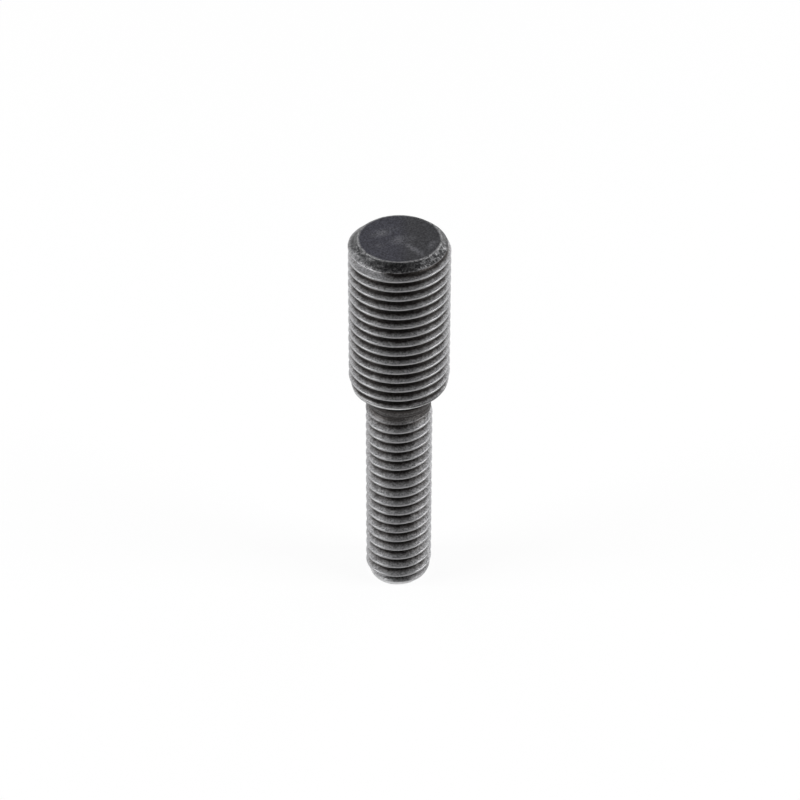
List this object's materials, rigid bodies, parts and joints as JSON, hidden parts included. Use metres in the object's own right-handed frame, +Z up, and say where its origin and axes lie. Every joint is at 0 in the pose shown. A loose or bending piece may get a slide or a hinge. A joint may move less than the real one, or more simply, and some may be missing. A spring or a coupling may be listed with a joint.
{
  "type": "threaded stud",
  "caption": "Stepped double-ended threaded stud in dark phosphated steel: a thick threaded end, a short plain neck and a thinner threaded end.",
  "frame": {"origin": "centre of the small end's flat face, on which the stud stands", "axes": "+Z up along the stud's axis, from the small end to the large end"},
  "size_m": [0.0138, 0.0138, 0.0566],
  "materials": {
    "phosphated_steel": "dark grey phosphate coat, matt, with bare worn thread crests"
  },
  "bodies": {
    "root": {"threaded_stud": "phosphated_steel"}
  },
  "joints": []
}
